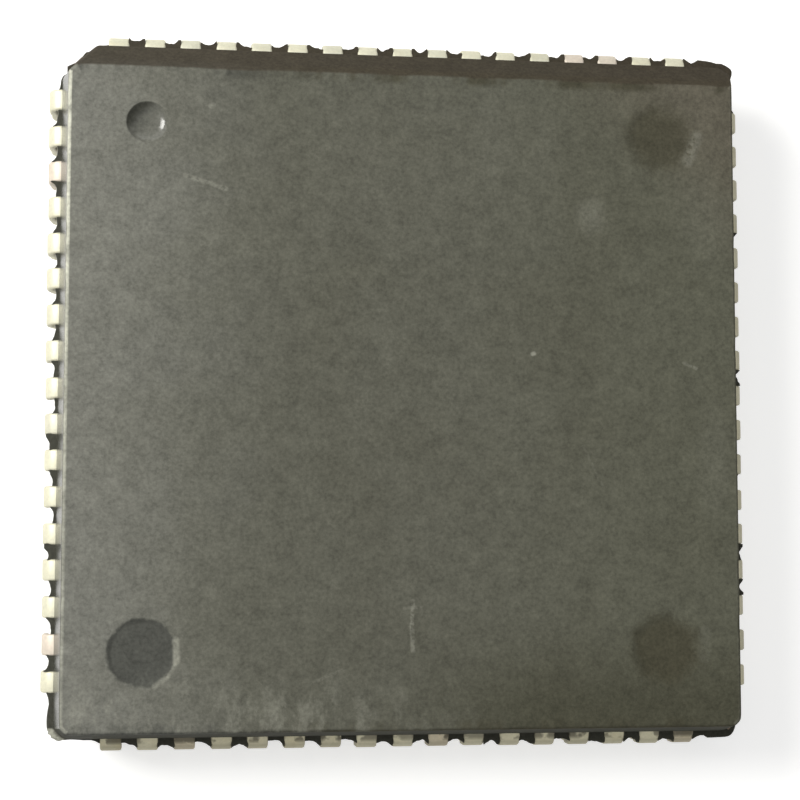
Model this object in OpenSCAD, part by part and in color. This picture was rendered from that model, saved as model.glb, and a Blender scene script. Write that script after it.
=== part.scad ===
// Plastic leaded chip carrier with J-shaped leads on four sides.
// Millimetres. The origin is the middle of the seating plane, +Z is up and
// +Y points to the bevelled side that carries the first lead.

/* [Leads] */
// Leads on each side of the carrier
leads_per_side = 17; // [11:2:21]
// Distance between the middles of neighbouring leads
lead_pitch = 1.27; // [1.2:0.01:1.4]
// Thickness of the lead-frame sheet
lead_thickness = 0.254; // [0.2:0.002:0.32]
// Width of a lead where it leaves the body
lead_width = 0.74; // [0.66:0.01:0.81]
// Width of the curled foot of a lead
foot_width = 0.46; // [0.33:0.01:0.53]
// How far a lead's outer face stands out from the body's side
lead_reach = 0.46; // [0.4:0.01:0.6]
// Inner radius of the bend at a lead's shoulder
shoulder_radius = 0.19; // [0.1:0.01:0.25]
// Drop from a lead's top face to where its shank starts to narrow
shank_drop = 0.9; // [0.65:0.01:1]
// Height of the narrowing stretch of the shank
shank_taper = 0.3; // [0.1:0.01:0.45]
// Outer radius of the curled foot
foot_radius = 0.89; // [0.7:0.01:0.96]
// Straight rise of a lead's tip past the end of its curl
tip_rise = 0.15; // [0.05:0.01:0.25]

/* [Body] */
// Distance from the middle of an end lead to the body's side
end_margin = 1.955; // [1.85:0.005:2.2]
// Thickness of the body
body_thickness = 3.76; // [3.65:0.01:4.06]
// Gap between the seating plane and the body's underside
standoff = 0.66; // [0.51:0.01:0.8]
// Height of the leads' underside where they leave the body
lead_exit = 2.67; // [2.5:0.01:2.8]
// Draft of the side walls above the leads, in degrees
draft_upper = 11; // [5:0.5:13]
// Draft of the side walls below the leads, in degrees
draft_lower = 8; // [3:0.5:10]
// Width of the broken edge around the top face
edge_break = 0.12; // [0.05:0.01:0.2]
// Height of the bevel along the side of the first lead
bevel_height = 0.86; // [0.6:0.01:1]
// Width of that bevel, seen from above
bevel_width = 0.92; // [0.6:0.01:1.1]
// Leg of the chamfer at the corner of the first lead
first_corner = 1.14; // [0.9:0.01:1.3]
// Leg of the small chamfer at the other three corners
other_corners = 0.4; // [0.35:0.01:0.6]

/* [Pockets for the lead tips] */
// Gap between a foot and each wall of its pocket
pocket_side_gap = 0.15; // [0.08:0.01:0.2]
// Gap between a tip and the end wall of its pocket
pocket_end_gap = 0.18; // [0.1:0.01:0.3]
// Gap between a tip and the roof of its pocket
pocket_roof_gap = 0.2; // [0.1:0.01:0.4]

/* [Moulding marks] */
// Distance from the body's sides to the middle of each mark
mark_inset = 3; // [2.6:0.05:4]
// Diameter of the index dimple beside the first lead
dimple_diameter = 1.45; // [1:0.05:2]
// Depth of the index dimple
dimple_depth = 0.16; // [0.08:0.01:0.3]
// Diameter of the ejector-pin marks
ejector_diameter = 2.35; // [1.5:0.05:2.6]
// Depth of the ejector-pin marks
ejector_depth = 0.07; // [0.03:0.01:0.15]

/* [Resin left by the mould] */
// Reach of the resin webs between the leads
web_reach = 0.26; // [0.1:0.01:0.3]
// Thickness of the resin webs, less than that of the leads
web_thickness = 0.12; // [0.06:0.01:0.18]
// Width of the broken gate at one corner
gate_width = 0.9; // [0.7:0.05:1.1]
// Reach of the broken gate past that corner
gate_reach = 0.14; // [0.08:0.01:0.2]
// Height of the broken gate below the leads' underside
gate_height = 0.26; // [0.2:0.02:0.6]

/* [Lead frame inside] */
// Straight stretch of each lead just inside the body's side
finger_straight = 1; // [0.6:0.05:1.05]
// Width of a lead's inner tip
finger_tip_width = 0.2; // [0.15:0.01:0.22]
// Gap in plan between the die pad and the inner tips
finger_gap = 0.35; // [0.2:0.01:0.6]
// Rim of the die pad around the die
pad_margin = 0.5; // [0.3:0.05:0.8]
// Width of the bars that tie the die pad to the corners
tie_width = 0.4; // [0.3:0.01:0.45]
// Length of the cut ends of those bars outside the corners
tie_stub = 0.06; // [0.02:0.01:0.12]
// Least gap between a tie bar and the inner tips beside it
tie_gap = 0.12; // [0.08:0.01:0.2]

/* [Die inside] */
// Length and width of the die
die_size = 6.4; // [5.5:0.1:7]
// Thickness of the die
die_thickness = 0.38; // [0.28:0.01:0.5]
// Thickness of the adhesive under the die
attach_thickness = 0.03; // [0.02:0.005:0.06]
// How far the adhesive spreads past the die
attach_spread = 0.12; // [0.05:0.01:0.25]

/* [Bond wires inside] */
// Diameter of a bond wire
wire_diameter = 0.033; // [0.025:0.001:0.05]
// Height of a wire's loop above the die
wire_loop = 0.24; // [0.15:0.01:0.4]
// Distance from the die's edge to the row of wire ends on it
bond_inset = 0.14; // [0.1:0.01:0.25]
// Distance from the die's corners to the last wire in a row
bond_corner = 0.5; // [0.3:0.05:1]
// Distance from a lead's inner tip to the wire end on it
stitch_inset = 0.16; // [0.1:0.01:0.3]
// Diameter of the ball that ends a wire on the die
ball_diameter = 0.085; // [0.06:0.005:0.11]
// Height of that ball, which is pressed flat
ball_height = 0.02; // [0.012:0.002:0.03]

/* [Hidden] */
$fn = 48;

NORTH = 90;
EAST = 0;
SOUTH = 270;
WEST = 180;
SIDES = [NORTH, EAST, SOUTH, WEST];
// Spare length by which a cutting shape passes the face it opens
past = 1;

// Heights
lead_top = lead_exit + lead_thickness;
lead_middle = lead_exit + lead_thickness / 2;
body_bottom = standoff;
body_top = standoff + body_thickness;
die_top = lead_top;
die_bottom = die_top - die_thickness;
pad_top = die_bottom - attach_thickness;
pad_bottom = pad_top - lead_thickness;

// Half widths in plan, from the middle outwards
last_lead = (leads_per_side - 1) / 2;
row_half = last_lead * lead_pitch;
body_half = row_half + end_margin;
lead_outside = body_half + lead_reach;
bend_start = lead_outside - lead_thickness - shoulder_radius;
finger_bend = body_half - finger_straight;
die_half = die_size / 2;
pad_half = die_half + pad_margin;
bar_start = pad_half * sqrt(2) - tie_width / 2;
finger_tip = pad_half + finger_gap;
mark_place = body_half - mark_inset;

// Spacing of the inner tips and of the wire ends along one side
tip_corner_gap = (tie_width / 2 + tie_gap) * sqrt(2) + finger_tip_width / 2;
tip_pitch = (finger_tip - tip_corner_gap) / last_lead;
bond_pitch = (die_half - bond_corner) / last_lead;

// Distance from the middle to a corner's chamfer, along the diagonal
function corner_face(leg) = (2 * body_half - leg) / sqrt(2);

// Turns a shape that points along +X to one side of the carrier
module to_side(angle) {
    rotate(angle) children();
}

// Half of the body's upright section, at a side whose parting line lies at half
function side_section(half, bevel_w, bevel_h) = [
    [half - (lead_exit - body_bottom) * tan(draft_lower), body_bottom],
    [half, lead_exit],
    [half, lead_top],
    [half - (body_top - bevel_h - lead_top) * tan(draft_upper), body_top - bevel_h],
    [half - (body_top - bevel_h - lead_top) * tan(draft_upper) - bevel_w, body_top],
];

// The same half section on the other side of the middle
function mirrored(points) = [for (i = [len(points) - 1:-1:0]) [-points[i].x, points[i].y]];

// Block with one section along its length and the other at its back
module section_block(front, back) {
    rotate([90, 0, 0])
        linear_extrude(4 * body_half, center = true)
            polygon(concat(front, mirrored(back)));
}

// Whole outside of the moulding: four drafted blocks crossing in the middle
module moulded_form() {
    plain = side_section(body_half, edge_break, edge_break);
    bevelled = side_section(body_half, bevel_width, bevel_height);
    first = side_section(corner_face(first_corner), edge_break, edge_break);
    other = side_section(corner_face(other_corners), edge_break, edge_break);
    intersection() {
        section_block(plain, plain);
        rotate(NORTH) section_block(bevelled, plain);
        rotate(NORTH + 45) section_block(first, other);
        rotate(EAST + 45) section_block(other, other);
    }
}

// Thin resin between the leads of one side, at the parting line
module resin_web() {
    translate([body_half - past, -row_half, lead_middle - web_thickness / 2])
        cube([past + web_reach, 2 * row_half, web_thickness]);
}

// Broken stub of resin where the mould was filled, at the corner beside the last lead
module gate_stub() {
    rotate(SOUTH - 45)
        translate([corner_face(other_corners) - past, -gate_width / 2, lead_exit - gate_height])
            cube([past + gate_reach, gate_width, gate_height + lead_thickness]);
}

// Pockets under the body's edge that take the lead tips of one side
module tip_pockets() {
    pocket_half = foot_width / 2 + pocket_side_gap;
    pocket_end = lead_outside - 2 * foot_radius - pocket_end_gap;
    pocket_roof = foot_radius + tip_rise + pocket_roof_gap;
    for (i = [-last_lead:last_lead])
        translate([pocket_end, i * lead_pitch - pocket_half, body_bottom - past])
            cube([lead_outside - pocket_end, 2 * pocket_half, pocket_roof - body_bottom + past]);
}

// Shallow round mark of an ejector pin, cut into a face at the given height
module ejector_mark(height) {
    translate([0, 0, height])
        cylinder(d = ejector_diameter, h = 2 * ejector_depth, center = true);
}

// Round dimple that points out the first lead
module index_dimple() {
    dimple_radius = (pow(dimple_diameter / 2, 2) + pow(dimple_depth, 2)) / (2 * dimple_depth);
    translate([-mark_place, mark_place, body_top + dimple_radius - dimple_depth])
        sphere(dimple_radius, $fn = 96);
}

// Marks on the top face and on the underside
module moulding_marks() {
    index_dimple();
    for (corner = [[1, 1], [1, -1], [-1, -1]])
        translate(mark_place * corner) ejector_mark(body_top);
    for (corner = [[1, 1], [1, -1], [-1, -1], [-1, 1]])
        translate(mark_place * corner) ejector_mark(body_bottom);
}

// Inner part of one lead: a flat finger that narrows and leans towards the die
module lead_finger(i) {
    middle = i * lead_pitch;
    tip = i * tip_pitch;
    translate([0, 0, lead_exit])
        linear_extrude(lead_thickness)
            polygon([
                [bend_start, middle - lead_width / 2],
                [bend_start, middle + lead_width / 2],
                [finger_bend, middle + lead_width / 2],
                [finger_tip, tip + finger_tip_width / 2],
                [finger_tip, tip - finger_tip_width / 2],
                [finger_bend, middle - lead_width / 2],
            ]);
}

// Bent strip of sheet around an axis along the row, from one angle to another
module bent_strip(inner_radius, width, from, to) {
    rotate([90, 0, 0])
        rotate(from)
            rotate_extrude(angle = to - from)
                translate([inner_radius, -width / 2])
                    square([lead_thickness, width]);
}

// Outer part of one lead: shoulder, narrowing shank, curled foot and tip
module lead_outside_part(i) {
    shank_top = lead_exit - shoulder_radius;
    narrow_from = lead_top - shank_drop;
    narrow_to = narrow_from - shank_taper;
    foot_middle = lead_outside - foot_radius;
    translate([0, i * lead_pitch, 0]) {
        translate([bend_start, 0, shank_top])
            bent_strip(shoulder_radius, lead_width, 0, 90);
        translate([lead_outside - lead_thickness, 0, 0])
            rotate([90, 0, 90])
                linear_extrude(lead_thickness)
                    polygon([
                        [-lead_width / 2, shank_top],
                        [-lead_width / 2, narrow_from],
                        [-foot_width / 2, narrow_to],
                        [-foot_width / 2, foot_radius],
                        [foot_width / 2, foot_radius],
                        [foot_width / 2, narrow_to],
                        [lead_width / 2, narrow_from],
                        [lead_width / 2, shank_top],
                    ]);
        translate([foot_middle, 0, foot_radius])
            bent_strip(foot_radius - lead_thickness, foot_width, 180, 360);
        translate([foot_middle - foot_radius, -foot_width / 2, foot_radius])
            cube([lead_thickness, foot_width, tip_rise]);
    }
}

// Row of leads along one side
module lead_row(angle) {
    color("gainsboro")
        to_side(angle)
            for (i = [-last_lead:last_lead])
                union() {
                    lead_finger(i);
                    lead_outside_part(i);
                }
}

// Square sheet under the die, turned so that its corners lie on the axes and
// cut there to the width of the tie bars
module pad_sheet() {
    cut = tie_width / 2;
    translate([0, 0, pad_bottom])
        linear_extrude(lead_thickness)
            polygon([
                [bar_start, -cut], [bar_start, cut],
                [cut, bar_start], [-cut, bar_start],
                [-bar_start, cut], [-bar_start, -cut],
                [-cut, -bar_start], [cut, -bar_start],
            ]);
}

// Bar from a corner of the turned die pad up to the body's corner with that chamfer
module tie_bar(angle, leg) {
    rise_start = bar_start + lead_thickness;
    rise_end = rise_start + lead_exit - pad_bottom;
    bar_end = corner_face(leg) + tie_stub;
    rotate(angle)
        rotate([90, 0, 0])
            linear_extrude(tie_width, center = true)
                polygon([
                    [bar_start, pad_bottom],
                    [rise_start, pad_bottom],
                    [rise_end, lead_exit],
                    [bar_end, lead_exit],
                    [bar_end, lead_top],
                    [rise_end, lead_top],
                    [rise_start, pad_top],
                    [bar_start, pad_top],
                ]);
}

// Arc of one bond wire from its ball on the die to its end on a lead's tip
module bond_wire(i) {
    from = [die_half - bond_inset, i * bond_pitch];
    to = [finger_tip + stitch_inset, i * tip_pitch];
    span = norm(to - from);
    arc_radius = (pow(span / 2, 2) + pow(wire_loop, 2)) / (2 * wire_loop);
    spare_angle = 2 * wire_diameter / arc_radius * 180 / PI;
    half_angle = asin(span / 2 / arc_radius) + spare_angle;
    translate([from.x, from.y, die_top])
        rotate(atan2(to.y - from.y, to.x - from.x)) {
            intersection() {
                translate([span / 2, 0, wire_loop - arc_radius])
                    rotate([90, 0, 0])
                        rotate(90 - half_angle)
                            rotate_extrude(angle = 2 * half_angle)
                                translate([arc_radius, 0])
                                    circle(d = wire_diameter, $fn = 24);
                translate([-span / 2, -span / 2, 0])
                    cube([2 * span, span, 2 * wire_loop]);
            }
            cylinder(d = ball_diameter, h = ball_height, $fn = 24);
        }
}

// Everything that the resin encloses or lets through
module enclosed_metal() {
    for (angle = SIDES) lead_row(angle);
    die_pad();
    die_attach();
    silicon_die();
    bond_wires();
}

module molded_body() {
    color("#4a4a42")
        difference() {
            union() {
                moulded_form();
                for (angle = SIDES) to_side(angle) resin_web();
                gate_stub();
            }
            for (angle = SIDES) to_side(angle) tip_pockets();
            moulding_marks();
            enclosed_metal();
        }
}

module leads_north() {
    lead_row(NORTH);
}

module leads_east() {
    lead_row(EAST);
}

module leads_south() {
    lead_row(SOUTH);
}

module leads_west() {
    lead_row(WEST);
}

module die_pad() {
    color("peru")
        rotate(45)
            union() {
                pad_sheet();
                tie_bar(NORTH, first_corner);
                for (angle = [EAST, SOUTH, WEST]) tie_bar(angle, other_corners);
            }
}

module die_attach() {
    spread = die_half + attach_spread;
    color("silver")
        translate([-spread, -spread, pad_top])
            cube([2 * spread, 2 * spread, attach_thickness]);
}

module silicon_die() {
    color("slategray")
        translate([-die_half, -die_half, die_bottom])
            cube([die_size, die_size, die_thickness]);
}

module bond_wires() {
    color("gold")
        for (angle = SIDES)
            to_side(angle)
                for (i = [-last_lead:last_lead]) bond_wire(i);
}

molded_body();
leads_north();
leads_east();
leads_south();
leads_west();
die_pad();
die_attach();
silicon_die();
bond_wires();
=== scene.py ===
"""Looks of a plastic leaded chip carrier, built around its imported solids.

All sizes in the classes are millimetres; meshes are scaled to metres when they are made.
"""

import logging
import math
import random
from dataclasses import dataclass, field
from enum import Enum

import bmesh
import bpy
from mathutils import Matrix, Vector, noise
from mathutils.geometry import delaunay_2d_cdt


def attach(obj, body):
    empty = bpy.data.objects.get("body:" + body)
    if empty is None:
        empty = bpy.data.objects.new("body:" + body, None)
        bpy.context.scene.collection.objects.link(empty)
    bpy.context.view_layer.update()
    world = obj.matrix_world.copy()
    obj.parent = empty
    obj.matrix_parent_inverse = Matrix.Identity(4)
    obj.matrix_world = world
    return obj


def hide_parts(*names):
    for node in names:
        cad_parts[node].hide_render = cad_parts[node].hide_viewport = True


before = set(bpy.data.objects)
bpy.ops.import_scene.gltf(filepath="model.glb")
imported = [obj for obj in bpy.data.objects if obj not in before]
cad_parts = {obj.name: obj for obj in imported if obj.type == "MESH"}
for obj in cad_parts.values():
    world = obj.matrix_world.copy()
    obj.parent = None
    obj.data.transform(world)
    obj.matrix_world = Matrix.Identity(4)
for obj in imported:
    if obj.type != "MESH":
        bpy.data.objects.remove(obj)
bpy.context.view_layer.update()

log = logging.getLogger("chip_carrier")

MM = 0.001
ROOT2 = math.sqrt(2)
BODY = "root"

Colour = tuple[float, float, float]
Socket = bpy.types.NodeSocket

ORIGIN = (0.0, 0.0, 0.0)


class Side(Enum):
    """Sides of the carrier in turning order, each with the angle that it faces."""

    EAST = 0
    NORTH = 90
    WEST = 180
    SOUTH = 270

    @property
    def node(self) -> str:
        """Name of the lead row on this side."""
        return f"leads_{self.name.lower()}"

    @property
    def after(self) -> "Side":
        """Next side in turning order."""
        return Side((self.value + 90) % 360)

    @property
    def before(self) -> "Side":
        """Previous side in turning order."""
        return Side((self.value - 90) % 360)

    def place(self, out: float, along: float) -> tuple[float, float]:
        """Turns a point of this side to the carrier's own axes.

        Args:
            out: distance from the middle towards this side.
            along: distance along the side, in turning order.

        Returns:
            The point's x and y.
        """
        turn = math.radians(self.value)
        cos, sin = math.cos(turn), math.sin(turn)
        return out * cos - along * sin, out * sin + along * cos


class MarkKind(Enum):
    """Round marks that the mould leaves in a face."""

    DIMPLE = "dimple"
    EJECTOR = "ejector"


@dataclass(frozen=True)
class Mark:
    """One round mark: its place, and how the film of dust treats it."""

    kind: MarkKind
    x: float
    y: float
    radius: float
    depth: float
    clean: float = 0.0
    softness: float = 0.1


class MeshDraft:
    """Points, faces and named point values of one mesh."""

    def __init__(self, *values: str) -> None:
        """Starts an empty draft.

        Args:
            values: names of the values that each point carries.
        """
        self.points: list[tuple[float, float, float]] = []
        self.faces: list[tuple[int, ...]] = []
        self.values: dict[str, list[float]] = {name: [] for name in values}

    def point(self, x: float, y: float, z: float, **values: float) -> int:
        """Adds a point.

        Args:
            x, y, z: its place.
            values: its named values, 0 where one isn't given.

        Returns:
            The point's index.
        """
        self.points.append((x, y, z))
        for name, row in self.values.items():
            row.append(values.get(name, 0.0))
        return len(self.points) - 1

    def face(self, *corners: int) -> None:
        """Adds a face."""
        self.faces.append(corners)

    def bridge(self, low: list[int], high: list[int]) -> None:
        """Joins two closed rings of equal length with quads.

        Args:
            low: ring that the faces start from.
            high: ring that they end on.
        """
        for k in range(len(low)):
            n = (k + 1) % len(low)
            self.face(low[k], low[n], high[n], high[k])

    def to_object(self, name: str, sharp: float = 34.0) -> bpy.types.Object:
        """Makes the mesh, with doubles merged, and links its object.

        Args:
            name: name of the object.
            sharp: angle in degrees past which an edge stays sharp.

        Returns:
            The new object.
        """
        mesh = bpy.data.meshes.new(name)
        mesh.from_pydata(self.points, [], self.faces)
        for key, row in self.values.items():
            mesh.attributes.new(key, "FLOAT", "POINT").data.foreach_set("value", row)
        shape = bmesh.new()
        shape.from_mesh(mesh)
        bmesh.ops.remove_doubles(shape, verts=shape.verts, dist=1e-4)
        bmesh.ops.scale(shape, vec=(MM, MM, MM), verts=shape.verts)
        shape.to_mesh(mesh)
        shape.free()
        mesh.shade_smooth()
        mesh.set_sharp_from_angle(angle=math.radians(sharp))
        made = bpy.data.objects.new(name, mesh)
        bpy.context.scene.collection.objects.link(made)
        return made


def settle(piece: bpy.types.Object, node: str) -> None:
    """Makes a piece stand for a solid of the frame and reports it.

    Args:
        piece: the finished piece.
        node: the solid's node.
    """
    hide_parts(node)
    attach(piece, BODY)
    log.info("%s: %d faces, stands for %s", piece.name, len(piece.data.polygons), node)


def wave(*place: float) -> float:
    """Smooth noise between about -1 and 1 at a place."""
    return noise.noise(Vector(place))


@dataclass(frozen=True)
class Spot:
    """Where a point of an outline lies: on a side, or on the corner after it."""

    side: Side
    along: float
    corner: bool = False


@dataclass(frozen=True)
class Level:
    """One horizontal cut through the moulding."""

    z: float
    inset: float = 0.0
    pockets: bool = False
    flash: float = 0.0
    gate: bool = False
    edge: float = 0.0
    film: float = 0.08


@dataclass
class MouldedBody:
    """The epoxy moulding: drafted walls, bevel, cut corner, pockets, marks and resin flash."""

    leads: int = 17
    pitch: float = 1.27
    half: float = 12.115
    bottom: float = 0.66
    top: float = 4.42
    parting_low: float = 2.67
    parting_high: float = 2.924
    draft_upper: float = 11.0
    draft_lower: float = 8.0
    edge_round: float = 0.12
    foot_round: float = 0.06
    bevel_height: float = 0.86
    bevel_width: float = 0.92
    bevel_round: float = 0.05
    first_corner: float = 1.14
    other_corners: float = 0.4
    pocket_half: float = 0.38
    pocket_end: float = 10.615
    pocket_roof: float = 1.24
    pocket_squeeze: float = 0.09
    lead_half: float = 0.37
    web_low: float = 2.737
    web_high: float = 2.857
    web_reach: float = 0.26
    gate_half: float = 0.45
    gate_reach: float = 0.2
    gate_low: float = 2.41
    mark_place: float = 9.115
    dimple_radius: float = 0.725
    dimple_depth: float = 0.18
    ejector_radius: float = 1.175
    ejector_depth: float = 0.07
    mark_points: int = 64
    seed: int = 11
    notch_side: int = 3
    notch_end: int = 6
    gap_steps: int = 8
    end_steps: int = 9
    corner_steps: int = 8
    eased_points: int = 5
    easing_rounds: int = 4
    flash_by_side: dict[Side, tuple[float, float]] = field(
        default_factory=lambda: {
            Side.NORTH: (1.3, 0.16), Side.WEST: (0.6, 0.12),
            Side.SOUTH: (0.72, 0.22), Side.EAST: (0.5, 0.15),
        }
    )
    end_flash: dict[tuple[Side, bool], float] = field(
        default_factory=lambda: {
            (Side.NORTH, False): 1.4, (Side.SOUTH, True): 1.0,
            (Side.EAST, True): 0.8, (Side.WEST, True): 0.75,
        }
    )
    corner_flash: dict[Side, tuple[float, float]] = field(
        default_factory=lambda: {
            Side.NORTH: (0.12, 0.3), Side.EAST: (0.32, 0.06),
            Side.SOUTH: (0.17, 0.06), Side.WEST: (0.14, 0.1),
        }
    )
    flash_most: float = 1.5
    flash_least: float = 0.1
    long_flash: float = 1.35
    long_flash_share: float = 0.14
    plain_end_flash: float = 0.4
    flash_lean: float = 0.45
    south_growth: float = 0.04
    # Painted reflections of the leads on the walls: their height and strength on each side.
    reflection_height: float = 0.75
    reflection_by_side: dict[Side, float] = field(
        default_factory=lambda: {Side.WEST: 0.12, Side.SOUTH: 0.04, Side.EAST: 0.06, Side.NORTH: 0.0}
    )
    wall_film: float = 0.08
    # Film on the underside, paler than on the walls: partly dust, partly painted light that lifts the
    # shaded underside.
    foot_film_and_light: float = 0.35
    # Film on the lower-right side of the dimple: painted light, against the painted shade of its
    # upper-left wall.
    dimple_lit_side_film: float = 0.8
    gate_paleness: float = 0.7
    lower_rub: float = 0.25
    edge_narrowing: float = 0.13

    def __post_init__(self) -> None:
        """Draws the reach of the resin flash in each gap between two leads."""
        draw = random.Random(self.seed)
        self.flash: dict[Side, list[tuple[float, float]]] = {}
        for side in Side:
            mean, spread = self.flash_by_side[side]
            self.flash[side] = []
            for gap in range(self.leads + 1):
                mean += self.south_growth if side is Side.SOUTH else 0.0
                long = draw.random() < self.long_flash_share
                reach = self.long_flash if long else draw.gauss(mean, spread)
                if gap in (0, self.leads):
                    reach = self.end_flash.get((side, gap > 0), self.plain_end_flash)
                lean = draw.uniform(-self.flash_lean, self.flash_lean)
                self.flash[side].append((max(self.flash_least, reach), lean))

    def painted_lead_reflection(self, spot: Spot, z: float) -> float:
        """Painted reflection of a bright lead on the wall above it.

        Args:
            spot: place in the outline.
            z: the height.

        Returns:
            A share of the palest rub.
        """
        full = self.reflection_by_side[spot.side]
        if spot.corner or not self.parting_high < z < self.top - self.edge_round:
            return 0.0
        cell = spot.along / self.pitch + self.leads / 2
        if not 0 <= cell < self.leads:
            return 0.0
        off = abs(cell % 1 - 0.5) * self.pitch
        reach = self.reflection_height * (1.0 + 0.25 * wave(spot.along * 0.7, 1.6, 7.7))
        fade = max(0.0, 1.0 - (z - self.parting_high) / reach) ** 1.4
        return full * fade * min(1.0, max(0.0, (0.5 - off) / 0.3))

    @property
    def top_marks(self) -> list[Mark]:
        """Marks in the top face.

        Returns:
            The dimple beside the first lead, then the ejector marks.
        """
        p, r, d = self.mark_place, self.ejector_radius, self.ejector_depth
        return [
            Mark(MarkKind.DIMPLE, -p, p, self.dimple_radius, self.dimple_depth, 0.0, 0.06),
            Mark(MarkKind.EJECTOR, -p, -p, r, d, 0.95, 0.14),
            Mark(MarkKind.EJECTOR, p, p, r, d, 0.75, 0.9),
            Mark(MarkKind.EJECTOR, p, -p, r, d, 0.82, 0.7),
        ]

    @property
    def foot_marks(self) -> list[Mark]:
        """Marks in the underside.

        Returns:
            The four ejector marks.
        """
        p, r, d = self.mark_place, self.ejector_radius, self.ejector_depth
        return [
            Mark(MarkKind.EJECTOR, x, y, r, d) for x, y in ((p, p), (p, -p), (-p, -p), (-p, p))
        ]

    def section(self, half: float, z: float, bevelled: bool) -> float:
        """Distance from the middle to a wall at one height.

        Args:
            half: the distance at the parting line.
            z: the height.
            bevelled: whether the wall ends in the wide bevel.

        Returns:
            The distance.
        """
        if z <= self.parting_low:
            return half - (self.parting_low - z) * math.tan(math.radians(self.draft_lower))
        height = self.bevel_height if bevelled else self.edge_round
        shoulder = self.top - height
        wall = min(max(z, self.parting_high), shoulder) - self.parting_high
        out = half - wall * math.tan(math.radians(self.draft_upper))
        if z <= shoulder:
            return out
        rise = min(1.0, (z - shoulder) / height)
        if not bevelled:
            return out - height * (1 - math.sqrt(1 - rise * rise))
        curl = max(0.0, (z - self.top + self.bevel_round) / self.bevel_round)
        fall = self.bevel_round * (1 - math.sqrt(max(0.0, 1 - curl * curl)))
        return out - self.bevel_width * rise - fall

    def wall(self, side: Side, z: float) -> float:
        """Distance from the middle to one side's wall at a height."""
        return self.section(self.half, z, side is Side.NORTH)

    def corner(self, side: Side, z: float) -> float:
        """Distance along the diagonal to the cut corner after a side, at a height."""
        leg = self.first_corner if side is Side.NORTH else self.other_corners
        return self.section((2 * self.half - leg) / ROOT2, z, False)

    def web(self, side: Side, along: float) -> float:
        """Reach of the resin flash at one place of a side.

        Args:
            side: the side.
            along: place along it.

        Returns:
            The reach past the wall, 0 where a lead covers it.
        """
        cell = along / self.pitch + self.leads / 2
        gap = min(self.leads, max(0, int(round(cell))))
        lead = (math.floor(cell) + 0.5 - self.leads / 2) * self.pitch
        if 0 <= cell < self.leads and abs(along - lead) < self.lead_half - 0.03:
            return 0.0
        middle = (gap - self.leads / 2) * self.pitch
        full, lean = self.flash[side][gap]
        across = (along - middle) / (self.pitch / 2 - self.lead_half)
        fade = 1.0
        if gap in (0, self.leads):
            across = min(1.0, max(-1.0, across))
            run = 1.1 if full < 0.6 else 6.0
            fade = max(0.0, 1.0 - max(0.0, abs(along) - abs(middle) + 0.26) / run)
        ragged = 0.94 + 0.32 * wave(along * 3.1, side.value, 3.7) + 0.14 * wave(along * 9, 8.1, 1.3)
        hollow = 0.8 + 0.45 * across * across
        reach = min(self.flash_most, max(0.0, full * (1 + lean * across) * hollow * ragged))
        return self.web_reach * reach * fade

    def push(self, spot: Spot, level: Level) -> float:
        """How far flash or the broken gate pushes a point of the outline out.

        Args:
            spot: the point's place in the outline.
            level: the cut that it lies in.

        Returns:
            The distance.
        """
        if not spot.corner:
            return self.web(spot.side, spot.along) * level.flash
        if spot.side is Side.WEST and level.gate:
            across = abs(spot.along) / self.gate_half
            broken = 0.75 + 0.5 * wave(spot.along * 6, level.z * 7, 2.2)
            return self.gate_reach * broken * max(0.0, min(1.0, 3.2 - 3 * across))
        mean, swing = self.corner_flash[spot.side]
        return max(0.0, mean + swing * wave(spot.along * 3, spot.side.value, 5.5)) * level.flash

    def levels(self) -> list[Level]:
        """Plans the cuts through the moulding.

        Returns:
            The cuts, from the underside to the top face.
        """
        foot, low, high = self.foot_round, self.parting_low, self.parting_high
        diagonal = math.cos(math.radians(45))
        cuts = [
            Level(self.bottom, foot + 0.05, True, film=self.foot_film_and_light),
            Level(self.bottom, foot, True, edge=0.1),
            Level(self.bottom + foot * (1 - diagonal), foot * (1 - diagonal), True, edge=0.3),
            Level(self.bottom + foot, 0.0, True, edge=0.1),
            Level(1.0, 0.0, True),
            Level(self.pocket_roof, 0.0, True),
            Level(self.pocket_roof),
            Level(1.8),
            Level(self.gate_low - 0.02),
            Level(self.gate_low, gate=True),
            Level(low, gate=True, edge=0.15),
            Level(self.web_low, gate=True),
            Level(self.web_low, flash=0.93, gate=True),
            Level((self.web_low + self.web_high) / 2, flash=1.0, gate=True),
            Level(self.web_high, flash=0.9, gate=True),
            Level(self.web_high, gate=True),
            Level(high, gate=True, edge=0.15),
            Level(high + 0.02),
            *(Level(high + rise) for rise in (0.12, 0.24, 0.38, 0.5)),
        ]
        start = self.top - self.bevel_height
        cuts += [Level(start + step) for step in (-0.04, 0.0, 0.04, 0.3, 0.55)]
        cuts.append(Level(self.top - self.edge_round - 0.03, edge=0.1))
        # The paleness across the rounding of the top edge peaks part-way round it: a painted
        # highlight on the worn edge.
        for turn in (0, 18, 36, 54, 72, 90):
            rise = math.sin(math.radians(turn))
            shine = {0: 0.1, 18: 0.45, 36: 0.9, 72: 0.93, 90: 0.8}.get(turn, 1.0)
            film = self.wall_film + (1 - self.wall_film) * max(0.0, rise - 0.55) / 0.45
            cuts.append(Level(self.top - self.edge_round * (1 - rise), edge=shine, film=film))
        cuts += [Level(self.top, inset, film=1.0) for inset in (0.03, 0.12, 0.32)]
        return cuts

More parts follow.
